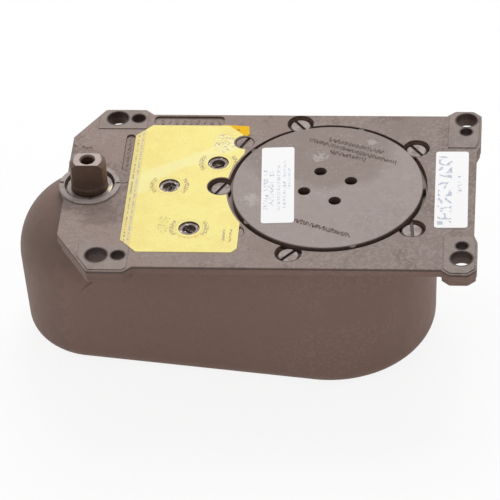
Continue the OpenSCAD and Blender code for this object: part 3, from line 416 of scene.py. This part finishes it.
def worked_finish(name, tone, dark, metallic=0.8, rough=0.4, grain=2.0, depth=0.05, painted_shade=None):
    """Plain worked metal, rubber or casting with stains, a fine grain, and painted shade below a level in mm.
    """
    metal = Finish(name, metallic=metallic)
    face = metal.blend(metal.noise(grain * 3, 4).rises(0.42, 0.68), tone, dark)
    if painted_shade:
        # Painted shade: below the level, in slots and down the sides of sunk heads, the metal turns dark
        low = 1 - (metal.z + metal.noise(2, 3) * 0.3).rises(painted_shade, painted_shade + 0.3)
        face = metal.blend(low, face, ink(66, 48, 40))
    metal.set(Base_Color=face)
    metal.set(Roughness=metal.noise(grain * 2, 3) * 0.3 + (rough - 0.15))
    metal.set(Normal=metal.bump(metal.noise(grain, 3), depth, metal.soften(0.3)))
    return metal.material


def valve_finish():
    """Plated valve heads, grimy at the rim and stained dark, with painted shade in the cup at their middle
    and bright painted glints.
    """
    steel = Finish("valve_steel", metallic=0.35)
    reach = reduce(Signal.smaller, [steel.reach(x, y) for x, y in VALVES])
    dark_patch = steel.noise(2.2, 4)
    rim = steel.blend(dark_patch.rises(0.45, 0.6) * 0.7, ink(124, 109, 103), ink(84, 67, 59))
    # Painted shade: the cup in the middle of each head is dark
    cup = steel.blend(dark_patch.rises(0.42, 0.58), ink(108, 88, 78), ink(60, 43, 35))
    glint = steel.noise(1.5, 3).rises(0.56, 0.62) * steel.noise(5, 1).rises(0.45, 0.55)
    head = steel.blend((reach + dark_patch * 1.6).rises(4.4, 5.2), cup, rim)
    head = steel.blend(glint * 0.9, head, ink(236, 234, 236))
    steel.set(Base_Color=steel.blend(steel.above(top("closing_valve") - 3.5, 1), ink(150, 140, 136), head))
    steel.set(Roughness=steel.noise(1.5, 3) * 0.3 + 0.3)
    steel.set(Normal=steel.bump(steel.noise(1.5, 3), 0.08, steel.soften(0.3)))
    return steel.material


def seal_finish():
    """Turned seal and its bore, catching a pale light on the label's side."""
    steel = Finish("seal_steel", metallic=0.2, rough=0.4)
    tone = steel.blend(steel.noise(4, 4).rises(0.5, 0.72), ink(152, 138, 133), ink(112, 94, 86))
    light = (steel.x - abs(steel.y + 3) * 0.8 + steel.noise(4, 2) * 3).rises(11, 14.5)
    steel.set(Base_Color=steel.blend(light * 0.8, tone, ink(240, 224, 190)))
    steel.set(Normal=steel.bump(steel.noise(1.2, 3), 0.03, steel.soften(0.3)))
    return steel.material


# ------------------------------------------------------------------ Labels

def yellow_tone(film, mottle):
    """Faded yellow film with a streak and a spot of glare."""
    streak = ((film.y - film.x * 0.62 + 14) / 7 + film.noise(8, 3) * 1.6 - 0.8).within(0.6, 0.6)
    glare = streak.larger((film.reach(*LABEL_GLARE) / 7).within(0.7, 0.4))
    return film.coats(
        ink(255, 240, 142),
        (film.noise(18, 3).rises(0.4, 0.65), 0.6, ink(249, 228, 128)),
        (mottle.rises(0.57, 0.66), 0.45, ink(236, 210, 120)),
        (film.noise(0.9, 2).rises(0.62, 0.7), 0.4, ink(255, 250, 190)),
        (glare, 0.55, ink(255, 249, 180)))


def band_marks(film, edge):
    """Two rows of broken marks between two thin lines, down the band that faces the spindle."""
    rows = (edge - 2.2).within(0.45, 0.15).larger((edge - 4.9).within(0.5, 0.15))
    lines = (edge - 0.7).within(0.12, 0.1).larger((edge - 6.3).within(0.12, 0.1))
    broken = film.noise(1.5, 1, film.vector(film.x * 0.3, film.y, 0.0)).rises(0.47, 0.52)
    return (rows * broken).larger(lines * 0.5)


def valve_marks(film):
    """A thin setting ring round each valve, with an arc of marks on either side of it."""
    broken = film.noise(1.2, 1).rises(0.46, 0.5)
    marks = []
    for x, y in VALVES:
        reach = film.reach(x, y)
        beside = (abs(film.x - x) - abs(film.y - y)).rises(1, 3)
        marks.append((reach - 8.9).within(0.1, 0.15) * 0.55)
        marks.append((reach - 11.4).within(1.4, 0.2) * beside * broken)
    return reduce(Signal.larger, marks)


def block_marks(film, mottle):
    """A block of faint marks beside the backcheck valve, and two short rows at the cover's side."""
    x, y = BACKCHECK
    block = (film.x - x + 17).within(3.4, 0.4) * (film.y - y - 3).within(8.0, 0.6)
    marks = block * mottle.rises(0.52, 0.58) * 0.6
    broken = film.noise(1.1, 1).rises(0.46, 0.52)
    for row_x in (92.2, 96.6):
        row = (film.x - row_x).within(0.7, 0.15) * (film.y + 50).within(6.5, 0.3)
        marks = marks.larger(row * broken)
    return marks


def deck_label_finish():
    """Yellow film with setting rings round the valves and rows of plain marks."""
    film = Finish("yellow_film", rough=0.4, Specular_IOR_Level=0.3, Coat_Weight=0.08, Coat_Roughness=0.25)
    mottle = film.noise(1.3, 2)
    edge = film.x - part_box("deck_label")[0].x * PER_MM
    band = (edge - 3.4).within(2.6, 0.2)
    # An oval of speckled marks between the closing valve and the orange tab
    x, y = LABEL_SPECKLES
    place = film.vector((film.x - x) / 8, (film.y - y) / 11, 0.0)
    away = film.node("ShaderNodeVectorMath", {"operation": "LENGTH"}, [place], output="Value")
    cluster = 1 - away.rises(0.75, 1.05)
    pale = film.noise(1.3, 1, film.vector(film.y, film.x, 0.0)).rises(0.6, 0.64)
    # An ochre smear on the near side of the backcheck valve
    x, y = BACKCHECK
    smear = (film.reach(x, y) - 9.9).within(0.5, 0.4) * (y - 4 - film.y).rises(0, 2) * mottle.rises(0.4, 0.5)

    paper = film.coats(
        yellow_tone(film, mottle),
        (band, 0.55, ink(234, 214, 146)),
        (cluster * pale, 1, ink(255, 255, 246)),
        (smear, 0.7, ink(222, 180, 70)))
    marks = reduce(Signal.larger, [
        band_marks(film, edge), valve_marks(film), block_marks(film, mottle),
        cluster * film.noise(1.5, 1).rises(0.56, 0.6)])
    bluish = (edge - 4.9).within(0.8, 0.2).larger(cluster * 0.8)
    printed = film.blend(bluish, ink(166, 144, 104), ink(168, 164, 184))
    film.set(Base_Color=film.blend(marks * 0.8, paper, printed))
    film.set(Normal=film.bump(film.noise(16, 2), 0.5))
    return film.material


def tag_marks(film, across, along, offset, half, low, high, pitch):
    """One column of curling strokes, a new figure at every pitch and some left out."""
    step = along / pitch
    number = math.floor(step)
    chance = film.node("ShaderNodeTexWhiteNoise", {"noise_dimensions": "1D"}, {"W": number + offset})
    curls = film.noise(half * 1.7, 0, film.vector(across, along, chance * 40 * half))
    strokes = (curls - 0.5).within(0.06, 0.02) * (across - offset).within(half, 0.2)
    figures = (step - number - 0.5).within(0.38, 0.04) * chance.rises(0.12, 0.13)
    return strokes * figures * (along - (low + high) / 2).within((high - low) / 2, 0.2)


def tag_finish(node, degrees, columns):
    """White film, turned by some degrees, with columns of curling strokes that read as nothing."""
    film = Finish(node + "_film", rough=0.45, Specular_IOR_Level=0.3)
    x, y = middle(node)
    cosine, sine = math.cos(math.radians(degrees)), math.sin(math.radians(degrees))
    across = (film.x - x) * cosine + (film.y - y) * sine
    along = (film.y - y) * cosine - (film.x - x) * sine
    marks = reduce(Signal.larger, [tag_marks(film, across, along, *column) for column in columns])
    marks = marks * film.noise(1.4, 2).rises(0.3, 0.46)
    film.set(Base_Color=film.blend(marks * 0.75, ink(255, 255, 255), ink(168, 178, 198)))
    film.set(Normal=film.bump(film.noise(9, 2), 0.1))
    return film.material


def tab_finish():
    """Orange film with one small worn spot."""
    film = Finish("orange_film", rough=0.5, Specular_IOR_Level=0.15)
    orange = film.blend(film.noise(2.5, 3).rises(0.55, 0.7) * 0.5, ink(246, 190, 4), ink(226, 168, 10))
    spot = (film.reach(*TAB_SPOT) + film.noise(1.2, 2) * 1.6).within(1.7, 0.2)
    film.set(Base_Color=film.blend(spot * 0.8, orange, ink(150, 108, 20)))
    film.set(Normal=film.bump(film.noise(5, 2), 0.05))
    return film.material


# ------------------------------------------------------------------ Dressing the solids

def solid_finishes():
    """Each finish and the nodes that wear it."""
    return {
        cast_finish(): ["case_casting"],
        cover_finish(): ["spring_cover"],
        spindle_finish(): ["spindle"],
        turned_finish("gland_steel", ink(152, 139, 134), ink(124, 107, 99), metallic=0.15, rough=0.45):
            ["gland_ring"],
        seal_finish(): ["shaft_seal"],
        worked_finish("screw_paint", ink(156, 143, 138), ink(122, 104, 96), metallic=0.1, rough=0.5,
                      painted_shade=top("clamp_screws") - 0.6): ["clamp_screws"],
        worked_finish("plug_paint", ink(134, 117, 109), ink(100, 82, 74), metallic=0.1, rough=0.5,
                      painted_shade=top("passage_plugs") - 0.6): ["passage_plugs", "gland_lock_screw"],
        valve_finish(): ["closing_valve", "latching_valve", "backcheck_valve"],
        worked_finish("zinc_plate", ink(205, 198, 194), ink(168, 160, 156), rough=0.35): ["check_ball"],
        worked_finish("oiled_steel", ink(150, 140, 136), ink(112, 100, 94)):
            ["cylinder_plug", "block_screws", "drive_keys", "crank_pin", "hub_pin", "ball_retainer"],
        worked_finish("forged_steel", ink(128, 118, 112), ink(92, 82, 76), rough=0.5, grain=3, depth=0.1):
            ["crank_arm", "link_bar", "spring_hub", "spring_post", "anchor_plate", "rack_piston"],
        turned_finish("gear_steel", ink(118, 108, 102), ink(84, 74, 68)): ["drive_pinion"],
        worked_finish("bearing_bronze", ink(190, 152, 92), ink(150, 114, 62), metallic=0.85):
            ["upper_bush", "lower_bush", "link_bushes", "hub_washer"],
        worked_finish("spring_wire", ink(96, 88, 84), ink(66, 58, 54), metallic=0.7, rough=0.42, grain=1.5):
            ["torsion_spring"],
        worked_finish("block_casting", ink(132, 122, 116), ink(104, 94, 88), metallic=0.3, rough=0.6, grain=3,
                      depth=0.15): ["cylinder_block"],
        worked_finish("black_rubber", ink(40, 38, 37), ink(56, 54, 52), metallic=0.0, rough=0.65, grain=1.0):
            ["cover_ring", "piston_ring", "closing_o_ring", "latching_o_ring", "backcheck_o_ring"],
        deck_label_finish(): ["deck_label"],
        tab_finish(): ["tab_label"],
        tag_finish("cover_label", 3.3, COVER_TAG): ["cover_label"],
        tag_finish("tail_label", 0.6, TAIL_TAG): ["tail_label"],
    }


def dress_solids():
    """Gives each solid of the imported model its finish."""
    bare = set(frame["nodes"])
    for material, names in solid_finishes().items():
        for name in names:
            slots = frame["nodes"][name].data.materials
            slots.clear()
            slots.append(material)
            bare.remove(name)
    assert not bare, bare


# ------------------------------------------------------------------ Raised marks

def bars_tree(name):
    """Geometry nodes that set a bar at every pitch along each edge, leaning and sized by chance."""
    smallest, largest = (0.7, 0.55, 1.0), (1.9, 1.1, 1.0)
    tree = bpy.data.node_groups.new(name, "GeometryNodeTree")
    interface = tree.interface
    interface.new_socket("Geometry", in_out="INPUT", socket_type="NodeSocketGeometry")
    for label in ("Pitch", "Length", "Width", "Height", "Lean", "Spread"):
        interface.new_socket(label, in_out="INPUT", socket_type="NodeSocketFloat")
    interface.new_socket("Seed", in_out="INPUT", socket_type="NodeSocketInt").default_value = 4
    interface.new_socket("Finish", in_out="INPUT", socket_type="NodeSocketMaterial")
    interface.new_socket("Geometry", in_out="OUTPUT", socket_type="NodeSocketGeometry")

    nodes = Nodes(tree)
    given = {socket.name: Signal(nodes, socket) for socket in tree.nodes.new("NodeGroupInput").outputs}
    number = nodes.node("GeometryNodeInputIndex")
    curve = nodes.node("GeometryNodeMeshToCurve", {}, [given["Geometry"]])
    spots = nodes.node("GeometryNodeCurveToPoints", {"mode": "LENGTH"},
                       {"Curve": curve, "Length": given["Pitch"]})
    size = nodes.vector(given["Width"], given["Length"], given["Height"])
    bar = nodes.node("GeometryNodeMeshCube", {}, {"Size": size}, output="Mesh")
    swing = nodes.node("FunctionNodeRandomValue", {"data_type": "FLOAT"},
                       {2: given["Spread"] * -1.0, 3: given["Spread"], "ID": number, "Seed": given["Seed"]},
                       output=1)
    shape = nodes.node("FunctionNodeRandomValue", {"data_type": "FLOAT_VECTOR"},
                       {0: smallest, 1: largest, "ID": number, "Seed": given["Seed"]})
    copies = nodes.node("GeometryNodeInstanceOnPoints", {}, {
        "Points": spots, "Instance": bar, "Rotation": nodes.vector(0.0, 0.0, given["Lean"] + swing),
        "Scale": shape})
    real = nodes.node("GeometryNodeRealizeInstances", {}, [copies])
    dressed = nodes.node("GeometryNodeSetMaterial", {}, {"Geometry": real, "Material": given["Finish"]})
    nodes.feed(tree.nodes.new("NodeGroupOutput").inputs[0], dressed)
    return tree


def build_marks(name, body, slot, rows, tone, level, **sizes):
    """Rows of short bars cast on a face and half sunk in it, as one plain mesh."""
    mesh = bpy.data.meshes.new(name + "_rows")
    points = [(x * MM, y * MM, level * MM) for row in rows for x, y in row]
    mesh.from_pydata(points, [(first, first + 1) for first in range(0, len(points), 2)], [])
    holder = bpy.data.objects.new(name + "_rows", mesh)
    bpy.context.scene.collection.objects.link(holder)

    modifier = holder.modifiers.new("marks", "NODES")
    modifier.node_group = bars_tree(name + "_along_rows")
    sizes["Finish"] = worked_finish(name + "_ink", tone, ink(112, 92, 83), metallic=0.0, rough=0.6, grain=1.0)
    for item in modifier.node_group.interface.items_tree:
        if item.in_out == "INPUT" and item.name in sizes:
            modifier[item.identifier] = sizes[item.name]
    graph = bpy.context.evaluated_depsgraph_get()
    marks = bpy.data.objects.new(name, bpy.data.meshes.new_from_object(holder.evaluated_get(graph)))
    bpy.data.objects.remove(holder)
    bpy.context.scene.collection.objects.link(marks)
    bevel = marks.modifiers.new("round", "BEVEL")
    bevel.width = 0.08 * MM
    bevel.segments = 2
    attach(marks, body)


# ------------------------------------------------------------------ Studio

def build_floor():
    """White paper that keeps the closer's shadow, which is seen only faintly."""
    half, gap, seen_white, paper_white = 6.0, 0.0002, 0.85, 1.03
    corners = [(-half, -half, 0), (half, -half, 0), (half, half, 0), (-half, half, 0)]
    mesh = bpy.data.meshes.new("floor")
    mesh.from_pydata(corners, [], [(0, 1, 2, 3)])
    floor = bpy.data.objects.new("floor", mesh)
    floor.location.z = cad_box[0][2] - gap
    bpy.context.scene.collection.objects.link(floor)

    paper = Finish("floor_paper", rough=0.9, Base_Color=(0.9, 0.9, 0.9, 1))
    glow = paper.node("ShaderNodeEmission", {}, {"Color": (1, 1, 1, 1), "Strength": paper_white})
    lit = Signal(paper, paper.shader.outputs[0])
    both = paper.node("ShaderNodeMixShader", {}, [paper.seen_plainly() * seen_white, lit, glow])
    paper.feed(paper.tree.nodes["Material Output"].inputs["Surface"], both)
    mesh.materials.append(paper.material)


def build_world():
    """Dim, even light from all sides, which looks white where it is seen itself."""
    light_on_closer, background_white = 0.36, 1.0
    world = bpy.data.worlds.new("studio")
    bpy.context.scene.world = world
    world.use_nodes = True
    sky = Nodes(world.node_tree)
    background = sky.tree.nodes["Background"]
    sky.feed(background.inputs["Color"], (1, 1, 1, 1))
    sky.feed(background.inputs["Strength"], sky.node("ShaderNodeMapRange", {}, {
        "Value": sky.seen_plainly(), "To Min": light_on_closer, "To Max": background_white}))


def build_lamp(name, place, power, size):
    """A square lamp that faces the closer."""
    closer = Vector((0.12, 0, 0.1))
    lamp = bpy.data.lights.new(name, "AREA")
    lamp.energy = power
    lamp.size = size
    holder = bpy.data.objects.new(name, lamp)
    bpy.context.scene.collection.objects.link(holder)
    holder.location = place
    holder.rotation_euler = (closer - holder.location).to_track_quat("-Z", "Y").to_euler()


def build_camera():
    """A long lens that looks down on the deck from the front, a little from the right and rolled."""
    elevation, azimuth, roll = math.radians(40.24), math.radians(6.487), math.radians(-3.653)
    aim, distance = Vector((0.11027, -0.06399, 0.115)), 2.176
    back = Vector((math.sin(azimuth) * math.cos(elevation), -math.cos(azimuth) * math.cos(elevation),
                   math.sin(elevation)))
    right = (-back).cross(Vector((0, 0, 1))).normalized()
    up = right.cross(-back)
    right, up = (math.cos(roll) * right + math.sin(roll) * up, math.cos(roll) * up - math.sin(roll) * right)
    camera = bpy.data.objects.new("camera", bpy.data.cameras.new("camera"))
    camera.data.lens = 244.8
    camera.data.sensor_width = 36
    camera.data.clip_end = 50
    camera.matrix_world = Matrix((right, up, back)).transposed().to_4x4()
    camera.matrix_world.translation = aim + distance * back
    bpy.context.scene.collection.objects.link(camera)
    bpy.context.scene.camera = camera


build_floor()
build_world()
build_lamp("key", place=(0.25, 0.85, 1.5), power=17.0, size=1.1)
build_lamp("fill", place=(-0.9, -0.6, 1.3), power=2.0, size=1.2)
build_camera()
bpy.context.scene.view_settings.view_transform = "Standard"
dress_solids()
build_marks("cover_marks", "tension_cover", "cover_metal", COVER_ROWS, ink(78, 60, 51), COVER_TOP,
            Pitch=1.6 * MM, Length=4.2 * MM, Width=0.72 * MM, Height=0.3 * MM, Lean=-0.35, Spread=0.7)
build_marks("recess_marks", "housing", "cast_case", RECESS_ROWS, ink(133, 116, 108), RECESS_FLOOR,
            Pitch=4.4 * MM, Length=4.8 * MM, Width=1.0 * MM, Height=0.8 * MM, Lean=0.0, Spread=0.4)
